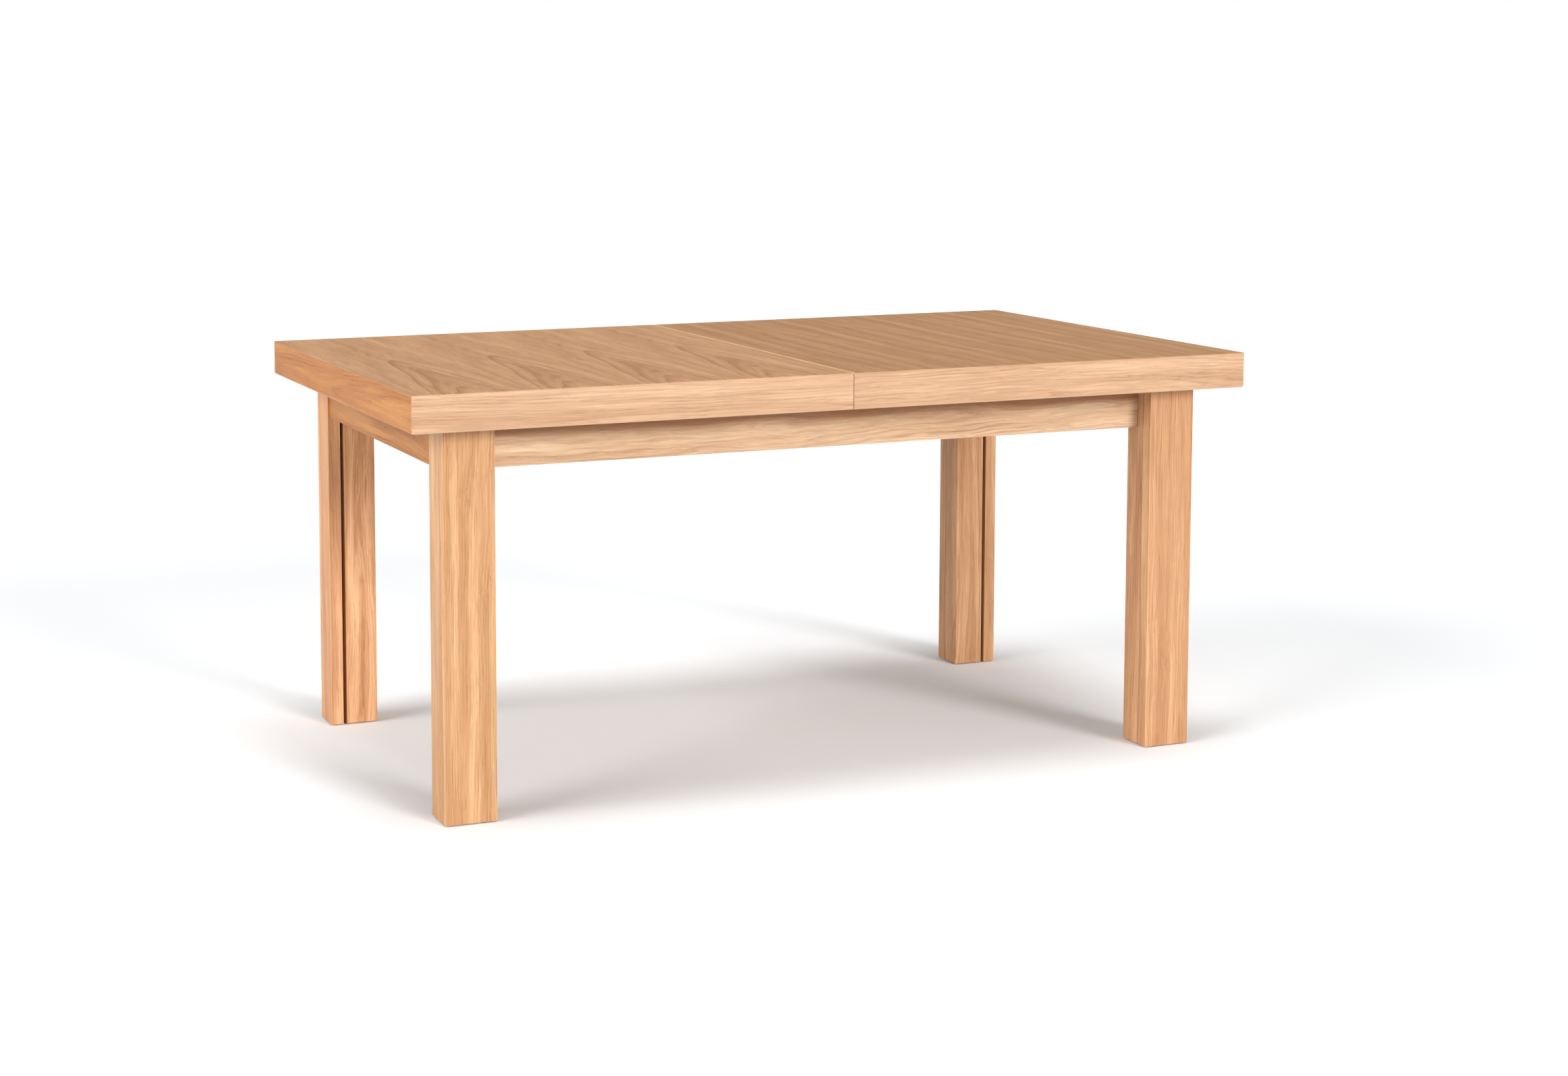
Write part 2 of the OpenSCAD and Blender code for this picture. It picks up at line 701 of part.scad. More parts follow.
// At rest a lever points at the table's edge. Turned a quarter, its hook takes the keeper pin.
module catch_lever(face) color(brass)
    quarter(LEFT, face) translate([catch_pivot_x, catch_y, z_catch]) difference() {
        union() {
            rod_z([0, 0, 0], catch_t, catch_w / 2);
            box([-catch_w / 2, 0, 0],
                [catch_w / 2, catch_reach + keeper_r + catch_tip, catch_t]);
            rod_z([0, catch_reach * 0.6, -11], 11 + eps, 4.5);
        }
        rod_z([0, 0, -1], catch_t + 2, catch_pivot_r + axle_clear);
        rod_z([0, catch_reach, -1], catch_t + 2, keeper_r + 1);
        box([-catch_w, catch_slot_y, -1], [0, catch_reach + keeper_r + 1, catch_t + 1]);
    }

// ---------------------------------------------------------------- spare leaf
module leaf_pins_at(y0, length, r)
    for (x = [-pin_span, 0, pin_span])
        rod_y([x, y0, z_leaf_top - table_h + z_pin], length, r);

module leaf_panel() color(oak_top)
    difference() {
        box([-leaf_half_l + edge_t, -leaf_half_w, z_leaf_top - panel_t],
            [leaf_half_l - edge_t, leaf_half_w, z_leaf_top - veneer_t]);
        leaf_pins_at(leaf_half_w - pin_in, pin_in + 1, pin_r + screw_fit);
        leaf_pins_at(-leaf_half_w - 1, pin_out + 5, pin_r + pin_clear);
    }

module leaf_veneer() color(oak_top)
    box([-leaf_half_l, -leaf_half_w, z_leaf_top - veneer_t],
        [leaf_half_l, leaf_half_w, z_leaf_top]);

module leaf_edge_boards() color(oak)
    for (side = [LEFT, RIGHT])
        quarter(side, BACK)
            box([leaf_half_l - edge_t, -leaf_half_w, z_store],
                [leaf_half_l, leaf_half_w, z_leaf_top - veneer_t]);

module leaf_pins() color(beech)
    leaf_pins_at(leaf_half_w - pin_in, pin_in + pin_out, pin_r);

post(LEFT, FRONT);  // post_front_left
post(RIGHT, FRONT);  // post_front_right
post(LEFT, BACK);  // post_back_left
post(RIGHT, BACK);  // post_back_right
post_glides();
apron(FRONT);  // apron_front
apron(BACK);  // apron_back
frame_dowels();
end_cross_rails();
leaf_bearers();
centre_rail();
guide_channels();
frame_screws();
rack_guides();
gear_axle();
leaf_panel();
leaf_veneer();
leaf_edge_boards();
leaf_pins();
pinion();
top_panel(LEFT);  // top_panel_left
top_veneer(LEFT);  // top_veneer_left
edge_board(LEFT, FRONT);  // edge_board_front_left
edge_board(LEFT, BACK);  // edge_board_back_left
edge_board_end(LEFT);  // edge_board_end_left
shell_face(LEFT, FRONT);  // shell_face_front_left
shell_side(LEFT, FRONT);  // shell_side_front_left
shell_face(LEFT, BACK);  // shell_face_back_left
shell_side(LEFT, BACK);  // shell_side_back_left
end_apron(LEFT);  // end_apron_left
runners(LEFT);  // runners_left
end_dowels(LEFT);  // end_dowels_left
slide_bars(LEFT);  // slide_bars_left
rack(LEFT);  // rack_left
shell_glides(LEFT);  // shell_glides_left
shell_plates(LEFT);  // shell_plates_left
screws(LEFT);  // screws_left
catch_plates();
top_panel(RIGHT);  // top_panel_right
top_veneer(RIGHT);  // top_veneer_right
edge_board(RIGHT, FRONT);  // edge_board_front_right
edge_board(RIGHT, BACK);  // edge_board_back_right
edge_board_end(RIGHT);  // edge_board_end_right
shell_face(RIGHT, FRONT);  // shell_face_front_right
shell_side(RIGHT, FRONT);  // shell_side_front_right
shell_face(RIGHT, BACK);  // shell_face_back_right
shell_side(RIGHT, BACK);  // shell_side_back_right
end_apron(RIGHT);  // end_apron_right
runners(RIGHT);  // runners_right
end_dowels(RIGHT);  // end_dowels_right
slide_bars(RIGHT);  // slide_bars_right
rack(RIGHT);  // rack_right
shell_glides(RIGHT);  // shell_glides_right
shell_plates(RIGHT);  // shell_plates_right
screws(RIGHT);  // screws_right
catch_keepers();
alignment_pins();
catch_lever(FRONT);  // catch_lever_front
catch_lever(BACK);  // catch_lever_back
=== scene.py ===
"""The looks of an extending dining table in oiled oak.

Each visible board is planed and eased here in place of its plain solid, and every piece of
wood, metal, nylon and felt gets a procedural finish on its own object coordinates. Units are
metres. X runs along the table, Y across it with the front at -Y, and Z is up.
"""

import json
import logging
import math
from dataclasses import dataclass, replace
from enum import Enum
from typing import Iterable, Sequence

import bmesh
import bpy
from mathutils import Matrix, Vector

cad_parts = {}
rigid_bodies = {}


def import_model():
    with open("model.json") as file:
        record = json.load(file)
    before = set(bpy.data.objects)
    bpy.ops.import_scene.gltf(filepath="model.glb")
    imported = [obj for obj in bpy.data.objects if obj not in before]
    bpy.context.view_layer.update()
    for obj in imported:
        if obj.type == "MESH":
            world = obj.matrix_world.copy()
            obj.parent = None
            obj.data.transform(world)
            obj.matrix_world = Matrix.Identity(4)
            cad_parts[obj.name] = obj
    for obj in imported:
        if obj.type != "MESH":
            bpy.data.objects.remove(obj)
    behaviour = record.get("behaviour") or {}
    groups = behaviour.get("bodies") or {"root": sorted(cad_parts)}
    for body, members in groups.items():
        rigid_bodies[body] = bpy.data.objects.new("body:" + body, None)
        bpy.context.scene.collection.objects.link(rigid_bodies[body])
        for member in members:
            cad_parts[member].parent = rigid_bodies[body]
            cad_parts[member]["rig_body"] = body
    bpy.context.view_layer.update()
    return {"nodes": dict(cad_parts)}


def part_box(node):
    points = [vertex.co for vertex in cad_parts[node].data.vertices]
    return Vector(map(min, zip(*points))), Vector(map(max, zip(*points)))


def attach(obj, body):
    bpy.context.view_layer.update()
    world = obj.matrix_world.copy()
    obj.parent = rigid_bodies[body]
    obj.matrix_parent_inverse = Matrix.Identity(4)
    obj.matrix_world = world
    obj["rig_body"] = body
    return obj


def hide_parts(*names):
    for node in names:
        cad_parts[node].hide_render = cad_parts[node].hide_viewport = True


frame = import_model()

logging.basicConfig(level=logging.INFO, format="%(message)s")
log = logging.getLogger("table")

Colour = tuple[float, float, float]
Triple = tuple[float, float, float]
Socket = bpy.types.NodeSocket

# How near two points or two angles are to count as one, in metres and radians.
SAW_SLACK = 1e-7
WELD = 2e-6
FLAT = math.radians(0.5)
# The angles past which an edge of a board, or the rim of a pad, is sharp.
SHARP = math.radians(20)
PAD_RIM = math.radians(60)
# The cosine between two directions that count as one.
SAME_WAY = 0.999


class Grain(Enum):
    """The axis that a board's grain runs along, with the order of X, Y and Z it reads."""

    ALONG = ("X", "Y", "Z")
    ACROSS = ("Y", "X", "Z")
    UPRIGHT = ("Z", "X", "Y")
    ALONG_EDGE = ("X", "Z", "Y")
    ACROSS_EDGE = ("Y", "Z", "X")
    UPRIGHT_SIDE = ("Z", "Y", "X")


class Side(Enum):
    """A half of the table, with the sign of its X."""

    LEFT = -1
    RIGHT = 1

    @property
    def word(self) -> str:
        """The side's word in the pieces' names."""
        return self.name.lower()


class Face(Enum):
    """A long side of the table, with the sign of its Y."""

    FRONT = -1
    BACK = 1

    @property
    def word(self) -> str:
        """The face's word in the pieces' names."""
        return self.name.lower()


class Recipe:
    """A material's nodes, wired from short calls."""

    def __init__(self, name: str) -> None:
        """Starts a material that holds only its output and its shader.

        Args:
            name: The material's name.
        """
        self.material = bpy.data.materials.new(name)
        self.material.use_nodes = True
        self.nodes = self.material.node_tree.nodes
        self.links = self.material.node_tree.links
        self.nodes.clear()
        output = self.nodes.new("ShaderNodeOutputMaterial")
        self.shader = self.nodes.new("ShaderNodeBsdfPrincipled")
        self.links.new(self.shader.outputs["BSDF"], output.inputs["Surface"])

    def feed(self, socket: Socket, value: object) -> None:
        """Links a socket to another socket, or sets its value.

        Args:
            socket: The input that is fed.
            value: An output socket, or a plain value.
        """
        if isinstance(value, Socket):
            self.links.new(value, socket)
        elif value is not None:
            socket.default_value = value

    def math(self, operation: str, a: object, b: object = None, c: object = None) -> Socket:
        """Works out one number from up to three.

        Args:
            operation: The Math node's operation.
            a: The first number.
            b: The second number.
            c: The third number.

        Returns:
            The result.
        """
        node = self.nodes.new("ShaderNodeMath")
        node.operation = operation
        for socket, value in zip(node.inputs, (a, b, c)):
            self.feed(socket, value)
        return node.outputs[0]

    def product(self, *values: object) -> Socket:
        """Multiplies two or more numbers."""
        result = values[0]
        for value in values[1:]:
            result = self.math("MULTIPLY", result, value)
        return result

    def vector(self, operation: str, a: object, b: object = None) -> Socket:
        """Works out a vector from two.

        Args:
            operation: The Vector Math node's operation.
            a: The first vector.
            b: The second vector.

        Returns:
            The result.
        """
        node = self.nodes.new("ShaderNodeVectorMath")
        node.operation = operation
        self.feed(node.inputs[0], a)
        self.feed(node.inputs[1], b)
        return node.outputs["Value" if operation == "LENGTH" else "Vector"]

    def split(self, value: object) -> tuple[Socket, ...]:
        """The three parts of a vector."""
        node = self.nodes.new("ShaderNodeSeparateXYZ")
        self.feed(node.inputs[0], value)
        return tuple(node.outputs)

    def join(self, x: object, y: object, z: object) -> Socket:
        """A vector from its three parts."""
        node = self.nodes.new("ShaderNodeCombineXYZ")
        for socket, value in zip(node.inputs, (x, y, z)):
            self.feed(socket, value)
        return node.outputs[0]

    def place(self) -> Socket:
        """The piece's own object coordinates, in metres."""
        return self.nodes.new("ShaderNodeTexCoord").outputs["Object"]

    def stretch(self, value: object, scale: Triple) -> Socket:
        """A place, scaled along each axis."""
        return self.vector("MULTIPLY", value, scale)

    def noise(self, value: object, scale: Triple, detail: float = 3.0,
              rough: float = 0.55, colour: bool = False) -> Socket:
        """Noise whose grain is finer where its scale is larger.

        Args:
            value: The place that it reads.
            scale: How many times it varies per metre on each axis.
            detail: Its octaves.
            rough: The strength of the finer octaves.
            colour: Whether three values are wanted.

        Returns:
            The noise, from 0 to 1.
        """
        node = self.nodes.new("ShaderNodeTexNoise")
        self.feed(node.inputs["Vector"], self.stretch(value, scale))
        node.inputs["Scale"].default_value = 1.0
        node.inputs["Detail"].default_value = detail
        node.inputs["Roughness"].default_value = rough
        return node.outputs["Color" if colour else "Fac"]

    def band(self, value: object, low: float, high: float, start: float = 0.0,
             end: float = 1.0) -> Socket:
        """Turns a span of values smoothly into another span, held at its ends.

        Args:
            value: The number read.
            low: Where the span starts.
            high: Where the span ends.
            start: The result at its start.
            end: The result at its end.

        Returns:
            The result.
        """
        node = self.nodes.new("ShaderNodeMapRange")
        node.interpolation_type = "SMOOTHSTEP"
        for socket, item in zip(node.inputs, (value, low, high, start, end)):
            self.feed(socket, item)
        return node.outputs[0]

    def blend(self, share: object, a: object, b: object, mode: str = "MIX") -> Socket:
        """Mixes two colours.

        Args:
            share: How much of the second one is used.
            a: The first colour.
            b: The second colour.
            mode: The way that they mix.

        Returns:
            The mixed colour.
        """
        node = self.nodes.new("ShaderNodeMix")
        node.data_type = "RGBA"
        node.blend_type = mode
        self.feed(node.inputs[0], share)
        self.feed(node.inputs[6], rgba(a))
        self.feed(node.inputs[7], rgba(b))
        return node.outputs[2]

    def ramp(self, value: object, stops: Sequence[tuple[float, float]]) -> Socket:
        """A grey ramp through the given stops.

        Args:
            value: The number read.
            stops: Each stop's place and its grey.

        Returns:
            The ramp's grey.
        """
        node = self.nodes.new("ShaderNodeValToRGB")
        greys = node.color_ramp
        greys.interpolation = "EASE"
        while len(greys.elements) < len(stops):
            greys.elements.new(0.5)
        for element, (spot, grey) in zip(greys.elements, stops):
            element.position = spot
            element.color = (grey, grey, grey, 1)
        self.feed(node.inputs[0], value)
        return node.outputs[0]

    def wear(self) -> Socket:
        """How much a face is an eased edge, from the mesh's own attribute."""
        node = self.nodes.new("ShaderNodeAttribute")
        node.attribute_name = "wear"
        return node.outputs["Fac"]

    def relief(self, height: object, depth: float, strength: float) -> None:
        """Raises the surface by a height.

        Args:
            height: The height, from 0 to 1.
            depth: What 1 stands for, in metres.
            strength: The bump's strength.
        """
        node = self.nodes.new("ShaderNodeBump")
        node.inputs["Strength"].default_value = strength
        node.inputs["Distance"].default_value = depth
        self.feed(node.inputs["Height"], height)
        self.links.new(node.outputs["Normal"], self.shader.inputs["Normal"])


def rgba(value: object) -> object:
    """A colour with its alpha, or anything else as it is."""
    return (*value, 1.0) if isinstance(value, tuple) and len(value) == 3 else value


def tint(colour: Colour, by: Triple) -> Colour:
    """A colour with each of its parts scaled, and held below white."""
    return tuple(min(1.0, part * scale) for part, scale in zip(colour, by))


def shade(colour: Colour, by: float) -> Colour:
    """A colour made lighter or darker as a whole."""
    return tint(colour, (by, by, by))


@dataclass(frozen=True)
class Noise:
    """Noise in wood, by how many times it varies per metre along and across the grain."""

    along: float
    across: float
    detail: float = 3.0
    rough: float = 0.55

    def at(self, wood: Recipe, place: Socket, colour: bool = False) -> Socket:
        """The noise at each place."""
        return wood.noise(place, (self.along, self.across, self.across), self.detail,
                          self.rough, colour)


# What sways the rings, slowly and closely.
DRIFT = Noise(1.5, 7.0, 2.0)
KINKS = Noise(6.0, 42.0, 2.0)
# How dark each year is, which reads ring numbers and not metres.
YEARS = Noise(1.0, 1.0, 3.0, 0.6)
# What the faces show, from whole zones to single pores.
FADE = Noise(5.0, 30.0, 2.0)
STREAKS = Noise(1.1, 48.0, 6.0, 0.66)
FIBRES = Noise(8.0, 600.0, 3.0, 0.6)
LINES = Noise(5.0, 330.0)
CLOUD = Noise(2.6, 12.0)
PORES = Noise(30.0, 1050.0, 2.0, 0.5)
BEECH_BANDS = Noise(1.5, 30.0)
BEECH_FLECKS = Noise(130.0, 900.0, 1.0, 0.4)

# One ring from spring to winter: how much early wood each part of it has.
EARLY_WOOD = ((0.0, 1.0), (0.14, 0.8), (0.36, 0.22), (0.78, 0.0), (1.0, 0.9))
# How fast a year's tone changes along the board, and how soft an arch's rim is.
YEAR_CHANGE = 1.5
RIM_BLUR = 0.0006

# Tones of oak, by how each part of its base colour, or of its dark or light tone, is scaled.
LIGHT_OAK: Triple = (1.16, 1.22, 1.28)
MID_OAK: Triple = (0.86, 0.80, 0.76)
DARK_OAK: Triple = (0.60, 0.46, 0.36)
# The tone of the darker zone that is part heartwood and part painted shade, scaled from the dark
# tone.
HEARTWOOD_AND_SHADE_IN_DARK: Triple = (0.85, 0.72, 0.62)
PORE_IN_DARK: Triple = (0.5, 0.45, 0.42)
WORN_IN_LIGHT: Triple = (1.1, 1.12, 1.15)
UNCHANGED: Triple = (1.0, 1.0, 1.0)


class Finish:
    """What a piece is made of. Its material is built the first time that it is asked for."""

    name: str
    slot: str

    def material(self) -> bpy.types.Material:
        """Finds the material, or builds it."""
        return bpy.data.materials.get(self.name) or self.build()

    def build(self) -> bpy.types.Material:
        """Builds the material."""
        raise NotImplementedError


@dataclass(frozen=True)
class Growth:
    """The patterns in one board's oak: two places in the log, in metres, and eight shares."""

    across: Socket
    girth: Socket
    year: Socket
    fade: Socket
    rings: Socket
    streaks: Socket
    fibres: Socket
    lines: Socket
    cloud: Socket
    ticks: Socket


@dataclass(frozen=True)
class OakFinish(Finish):
    """Oiled oak, cut from a log whose rings the board's faces and ends all share.

    heart is where the log's middle lies from the board's own middle, across the grain and in
    depth, so a near one gives arched figure and a far one gives straight lines. taper is how
    fast the log thins along the board, pitch the width of a ring, and waver how far the rings
    sway. figure, bands, streak, lines, pores and mottle are strengths. band_rate is how soon
    dark and light years follow each other, and line_rate how often fine lines break off.

    sheet is the width of each leaf of a slip-matched veneer, and slip is how far each leaf lies
    from the one before, along the board and into the log. arch is a nest of darker rings in it:
    how far along the board the first tip lies, the step between rings, and how dark they are.
    A darker zone of the board, part heartwood and part painted shade where an overhang shadows it,
    is given by where across the grain it starts, where it is full, and how dark it is.
    """

    name: str
    grain: Grain
    base: Colour
    heart: tuple[float, float] = (0.0, -0.05)
    taper: float = 0.03
    pitch: float = 0.0042
    waver: float = 0.006
    figure: float = 0.5
    bands: float = 0.6
    streak: float = 0.6
    lines: float = 0.35
    pores: float = 0.5
    mottle: float = 0.35
    band_rate: float = 0.31
    line_rate: float = 5.0
    sheet: float = 0.0
    slip: tuple[float, float] = (-0.02, 0.0011)
    arch: Triple = (0.0, 0.0, 0.0)
    heartwood: Triple = (0.0, 1.0, 0.0)
    rough: float = 0.46
    relief: float = 0.0002
    slot: str = "oak"
    middle: Triple = (0.0, 0.0, 0.0)
    seed: float = 0.0

    def fitted(self, node: str, grain: Grain | None = None) -> "OakFinish":
        """The same oak, cut for one board.

        Args:
            node: The CAD node whose place the board takes.
            grain: The way that its grain runs, where it differs.

        Returns:
            The board's own finish.
        """
        low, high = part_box(node)
        return replace(self, name=f"{self.name}_{node}", grain=grain or self.grain,
                       middle=tuple((low + high) / 2), seed=sum(node.encode()) % 97 / 9.7)

    def log_place(self, oak: Recipe) -> Socket:
        """Where each point of the board lay in its log, from the board's middle.

        Args:
            oak: The material's recipe.

        Returns:
            The place along, across and into the log.
        """
        local = oak.vector("SUBTRACT", oak.place(), self.middle)
        parts = dict(zip("XYZ", oak.split(local)))
        along, wide, deep = (parts[axis] for axis in self.grain.value)
        if self.sheet:
            turn = oak.math("DIVIDE", wide, self.sheet)
            wide = oak.math("MULTIPLY", oak.math("SUBTRACT", oak.math("FRACT", turn), 0.5),
                            self.sheet)
            leaf = oak.math("FLOOR", turn)
            along = oak.math("MULTIPLY_ADD", leaf, self.slip[0], along)
            deep = oak.math("MULTIPLY_ADD", leaf, self.slip[1], deep)
        return oak.join(along, wide, deep)

    def sway(self, oak: Recipe, spot: Socket, noise: Noise, reach: float) -> Socket:
        """How far a noise pushes the rings aside at each point.

        Args:
            oak: The material's recipe.
            spot: The place that the noise reads.
            noise: The noise.
            reach: How far apart its two extremes are, in metres.

        Returns:
            The push, across and into the log.
        """
        push = oak.vector("SUBTRACT", noise.at(oak, spot, colour=True), (0.5, 0.5, 0.5))
        return oak.stretch(push, (0.0, reach, reach))

    def grow(self, oak: Recipe) -> Growth:
        """Works out the patterns that the board shows.

        Args:
            oak: The material's recipe.

        Returns:
            The patterns.
        """
        place = self.log_place(oak)
        spot = oak.vector("ADD", place, (self.seed, 2 * self.seed, 3 * self.seed))
        bend = oak.vector("ADD", self.sway(oak, spot, DRIFT, 4 * self.waver),
                          self.sway(oak, spot, KINKS, self.waver))
        run, across, depth = oak.split(oak.vector("ADD", place, bend))
        fibre_place = oak.vector("ADD", spot, bend)
        reach = oak.vector("LENGTH", oak.join(0.0, oak.math("SUBTRACT", across, self.heart[0]),
                                              oak.math("SUBTRACT", depth, self.heart[1])))
        girth = oak.math("MULTIPLY_ADD", run, self.taper, reach)
        ring = oak.math("DIVIDE", girth, self.pitch)
        early = oak.ramp(oak.math("FRACT", ring), EARLY_WOOD)
        year = YEARS.at(oak, oak.join(oak.math("MULTIPLY", ring, self.band_rate), self.seed,
                                      oak.math("MULTIPLY", run, YEAR_CHANGE)))
        fade = oak.band(FADE.at(oak, fibre_place), 0.36, 0.62, 0.25, 1.0)
        rings = oak.product(early, fade, oak.band(year, 0.32, 0.66, 0.25, 1.0))
        fine = replace(LINES, along=self.line_rate)
        pores = oak.band(PORES.at(oak, fibre_place), 0.58, 0.69)
        return Growth(
            across=across, girth=girth, year=year, fade=fade, rings=rings,
            streaks=STREAKS.at(oak, fibre_place), fibres=FIBRES.at(oak, fibre_place),
            lines=oak.band(fine.at(oak, fibre_place), 0.55, 0.70), cloud=CLOUD.at(oak, spot),
            ticks=oak.product(pores, oak.math("MULTIPLY_ADD", rings, 0.75, 0.25)))

    def ring_tones(self, oak: Recipe, growth: Growth) -> Socket:
        """Colours the streaks, years, rings, lines and clouds.

        Args:
            oak: The material's recipe.
            growth: The board's patterns.

        Returns:
            The colour so far.
        """
        light, mid, dark = (tint(self.base, by) for by in (LIGHT_OAK, MID_OAK, DARK_OAK))
        streaks = oak.band(growth.streaks, 0.34, 0.66, 1.0, 0.0)
        years = oak.band(growth.year, 0.38, 0.64)
        tone = oak.blend(oak.product(streaks, self.streak), light, mid)
        tone = oak.blend(oak.product(years, self.bands), tone, oak.blend(0.5, mid, dark))
        tone = oak.blend(oak.product(growth.rings, self.figure), tone, dark)
        tone = oak.blend(oak.product(growth.lines, growth.fade, self.lines), tone, dark)
        return oak.blend(oak.band(growth.cloud, 0.35, 0.75, 0.0, self.mottle), tone, mid)

    def zone_tones(self, oak: Recipe, growth: Growth, tone: Socket) -> Socket:
        """Adds the nested arches and the darker zone of heartwood and painted shade, where the
        board has them.

        Args:
            oak: The material's recipe.
            growth: The board's patterns.
            tone: The colour so far.

        Returns:
            The colour with both.
        """
        dark = tint(self.base, DARK_OAK)
        tip, step, arch_depth = self.arch
        if arch_depth:
            inside = oak.math("SUBTRACT", abs(self.heart[1]) + self.taper * tip, growth.girth)
            nest = oak.math("FRACT", oak.math("DIVIDE", inside, step))
            share = oak.product(oak.band(inside, -RIM_BLUR, RIM_BLUR),
                                oak.band(nest, 0.04, 0.55, 1.0, 0.15),
                                oak.band(growth.cloud, 0.30, 0.60, 0.4, 1.0), arch_depth)
            tone = oak.blend(share, tone, dark)
        # The darker zone: on the apron it is partly heartwood and partly painted shade, standing
        # in for the shadow under the top's overhang.
        start, full, heartwood_and_shade_depth = self.heartwood
        if heartwood_and_shade_depth:
            tone = oak.blend(oak.band(growth.across, start, full, 0.0, heartwood_and_shade_depth), tone,
                             tint(dark, HEARTWOOD_AND_SHADE_IN_DARK))
        return tone

    def fine_tones(self, oak: Recipe, growth: Growth, tone: Socket) -> Socket:
        """Adds the fibres, the pores and the worn edges.

        Args:
            oak: The material's recipe.
            growth: The board's patterns.
            tone: The colour so far.

        Returns:
            The whole colour.
        """
        fibres = oak.band(growth.fibres, 0.28, 0.72, 0.86, 1.11)
        tone = oak.blend(1.0, tone, oak.join(fibres, fibres, fibres), "MULTIPLY")
        tone = oak.blend(oak.product(growth.ticks, self.pores), tone,
                         tint(tint(self.base, DARK_OAK), PORE_IN_DARK))
        return oak.blend(oak.product(oak.wear(), 0.5), tone,
                         tint(tint(self.base, LIGHT_OAK), WORN_IN_LIGHT))

    def oil(self, oak: Recipe, growth: Growth) -> None:
        """Sets the oiled surface, and sinks its pores and early wood.

        Args:
            oak: The material's recipe.
            growth: The board's patterns.
        """
        rough = oak.math("MULTIPLY_ADD", growth.fibres, 0.16, self.rough - 0.08)
        rough = oak.math("MULTIPLY_ADD", growth.ticks, 0.2, rough)
        rough = oak.math("MULTIPLY_ADD", oak.wear(), -0.06, rough)
        oak.feed(oak.shader.inputs["Roughness"], rough)
        height = oak.math("MULTIPLY_ADD", growth.ticks, -0.8, oak.product(growth.fibres, 0.3))
        height = oak.math("MULTIPLY_ADD", growth.rings, -0.25, height)
        oak.relief(height, self.relief, 0.55)
        oak.shader.inputs["IOR"].default_value = 1.46
        oak.shader.inputs["Specular IOR Level"].default_value = 0.16

    def build(self) -> bpy.types.Material:
        """Builds the oak."""
        oak = Recipe(self.name)
        growth = self.grow(oak)
        tone = self.zone_tones(oak, growth, self.ring_tones(oak, growth))
        oak.feed(oak.shader.inputs["Base Color"], self.fine_tones(oak, growth, tone))
        self.oil(oak, growth)
        return oak.material


@dataclass(frozen=True)
class BeechFinish(Finish):
    """Plain planed beech, with short dark flecks along the grain."""

    name: str
    grain: Grain
    base: Colour
    fleck: Colour
    relief: float = 0.0001
    slot: str = "beech"

    def build(self) -> bpy.types.Material:
        """Builds the beech."""
        beech = Recipe(self.name)
        parts = dict(zip("XYZ", beech.split(beech.place())))
        place = beech.join(*(parts[axis] for axis in self.grain.value))
        bands = BEECH_BANDS.at(beech, place)
        flecks = beech.band(BEECH_FLECKS.at(beech, place), 0.62, 0.70)
        pale = shade(self.base, 1.12)
        tone = beech.blend(beech.band(bands, 0.3, 0.7), self.base, pale)
        tone = beech.blend(beech.product(flecks, 0.5), tone, self.fleck)
        tone = beech.blend(beech.product(beech.wear(), 0.4), tone, pale)
        beech.feed(beech.shader.inputs["Base Color"], tone)
        beech.feed(beech.shader.inputs["Roughness"], beech.math("MULTIPLY_ADD", bands, 0.2, 0.45))
        beech.relief(beech.math("MULTIPLY_ADD", flecks, -0.5, bands), self.relief, 0.35)
        return beech.material


@dataclass(frozen=True)
class MetalFinish(Finish):
    """A bare or plated metal, with drawing marks, worn edges and dull patches."""

    name: str
    base: Colour
    rough: float
    marks: Triple
    slot: str
    patches: Triple = (35.0, 35.0, 35.0)
    dull: float = 0.72
    bright: float = 1.2
    relief: float = 0.00004

    def build(self) -> bpy.types.Material:
        """Builds the metal."""
        metal = Recipe(self.name)
        place = metal.place()
        drawn = metal.noise(place, self.marks)
        patch = metal.noise(place, self.patches)
        tone = metal.blend(metal.band(patch, 0.35, 0.70, 0.0, 0.5), self.base,
                           shade(self.base, self.dull))
        tone = metal.blend(metal.product(metal.wear(), 0.5), tone, shade(self.base, self.bright))
        metal.feed(metal.shader.inputs["Base Color"], tone)
        rough = metal.math("MULTIPLY_ADD", drawn, 0.18, self.rough - 0.09)
        metal.feed(metal.shader.inputs["Roughness"], metal.math("MULTIPLY_ADD", patch, 0.1, rough))
        metal.shader.inputs["Metallic"].default_value = 1.0
        metal.relief(drawn, self.relief, 0.4)
        return metal.material


@dataclass(frozen=True)
class NylonFinish(Finish):
    """Moulded natural nylon, faintly mottled."""

    name: str = "natural_nylon"
    base: Colour = (0.74, 0.72, 0.66)
    mottle: Triple = (160.0, 160.0, 160.0)
    relief: float = 0.00003
    slot: str = "nylon"

    def build(self) -> bpy.types.Material:
        """Builds the nylon."""
        nylon = Recipe(self.name)
        mottle = nylon.noise(nylon.place(), self.mottle)
        tone = nylon.blend(nylon.band(mottle, 0.3, 0.7), self.base, shade(self.base, 0.88))
        nylon.feed(nylon.shader.inputs["Base Color"], tone)
        nylon.feed(nylon.shader.inputs["Roughness"], nylon.math("MULTIPLY_ADD", mottle, 0.2, 0.4))
        nylon.shader.inputs["Subsurface Weight"].default_value = 0.08
        nylon.relief(mottle, self.relief, 0.3)
        return nylon.material


